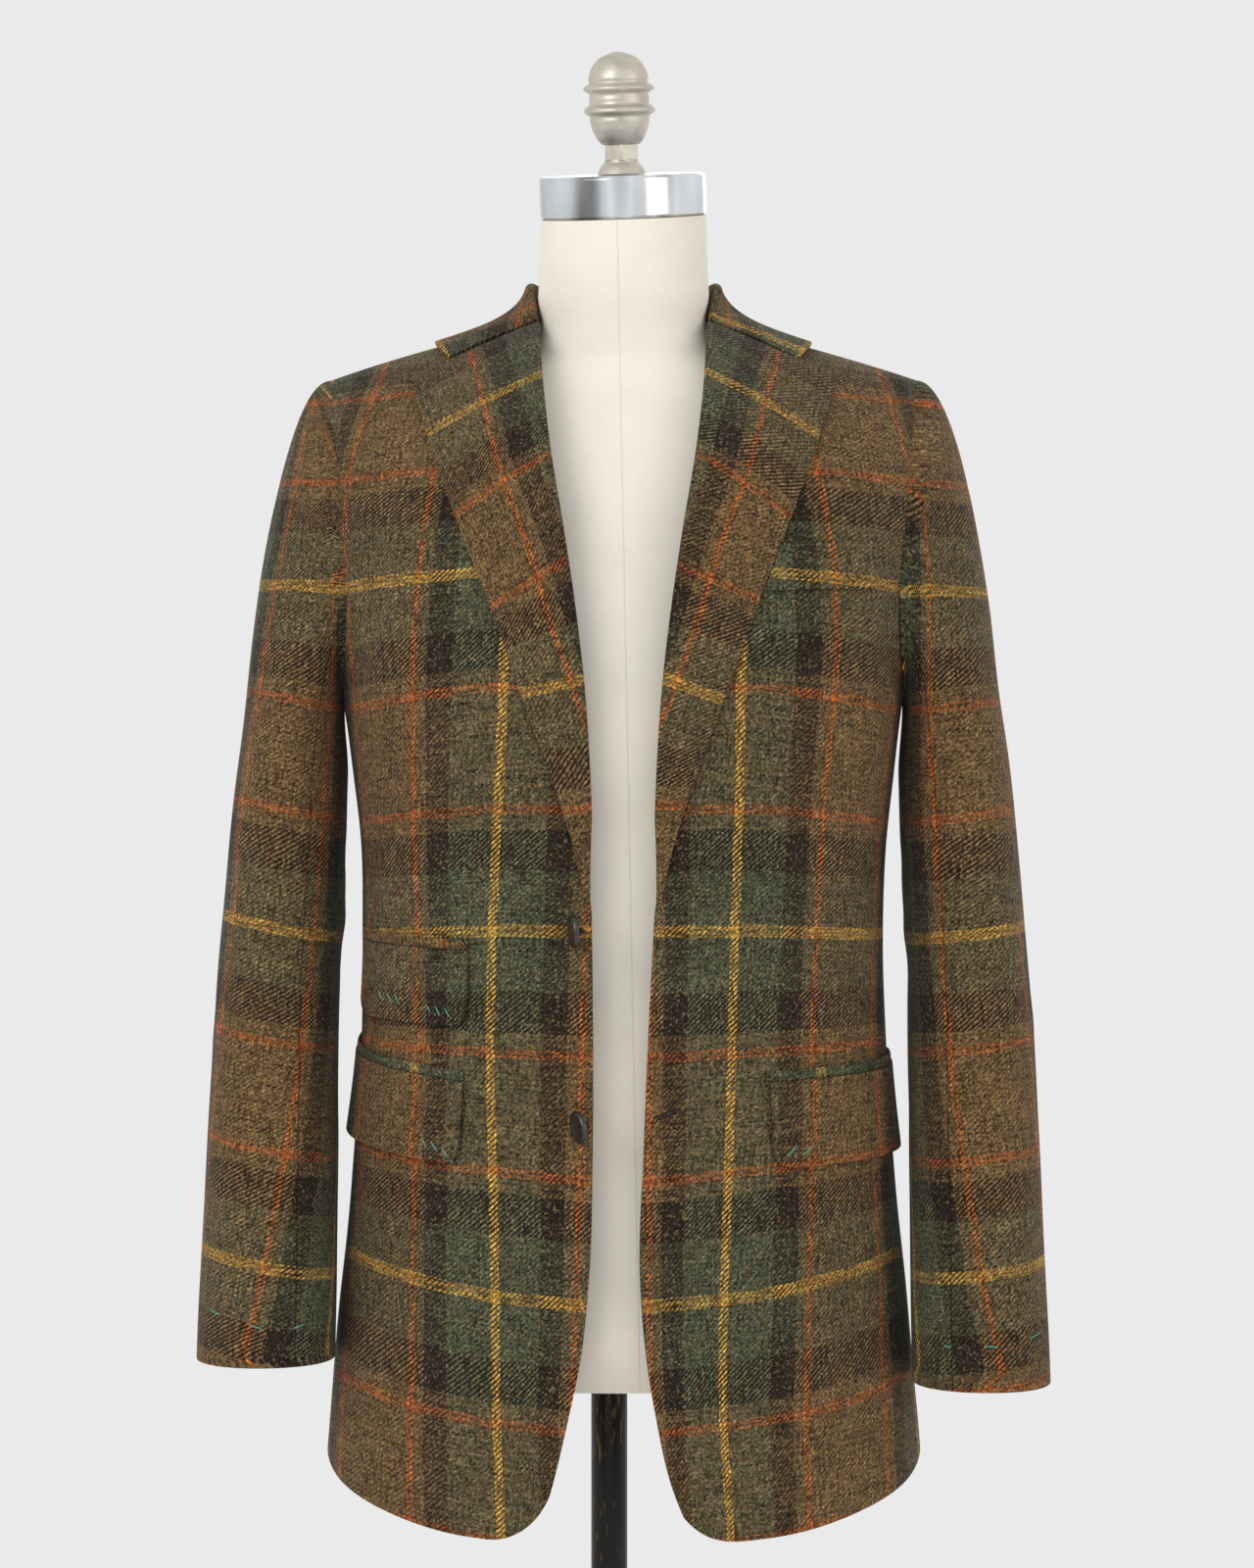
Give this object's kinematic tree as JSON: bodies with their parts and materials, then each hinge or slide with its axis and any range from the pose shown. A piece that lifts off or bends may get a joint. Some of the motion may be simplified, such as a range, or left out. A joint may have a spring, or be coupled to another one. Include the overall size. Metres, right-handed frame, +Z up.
{
  "type": "tweed hacking jacket on dress form",
  "caption": "Tweed check hacking jacket with notched lapels, slanted flap pockets and a ticket pocket, worn open on a limbless dress form with neck cap, finial, pole and round base.",
  "frame": {"origin": "middle of the base's underside, on the floor", "axes": "+Z up; the jacket's front faces -Y; the wearer's right is at -X"},
  "size_m": [0.5505, 0.38, 1.64],
  "materials": {
    "tweed": "heathered two-and-two twill tweed, olive, green and dark brown with orange and gold overchecks",
    "horn": "polished dark brown horn with a raised rim",
    "form_cloth": "smooth cream cotton cover",
    "polished_steel": "polished steel band",
    "cast_nickel": "satin cast metal",
    "black_enamel": "worn black enamel with brown scuffs"
  },
  "bodies": {
    "root": {"front_right": "tweed", "front_left": "tweed", "side_right": "tweed", "side_left": "tweed", "back_right": "tweed", "back_left": "tweed", "sleeve_top_right": "tweed", "sleeve_under_right": "tweed", "sleeve_top_left": "tweed", "sleeve_under_left": "tweed", "lapel_right": "tweed", "lapel_left": "tweed", "collar": "tweed", "ticket_jetting": "tweed", "ticket_flap": "tweed", "hip_jetting_right": "tweed", "hip_flap_right": "tweed", "hip_jetting_left": "tweed", "hip_flap_left": "tweed", "breast_welt": "tweed", "button_upper": "horn", "button_lower": "horn", "form_body": "form_cloth", "neck_cap": "polished_steel", "finial": "cast_nickel", "pole": "black_enamel", "base": "black_enamel"}
  },
  "joints": []
}
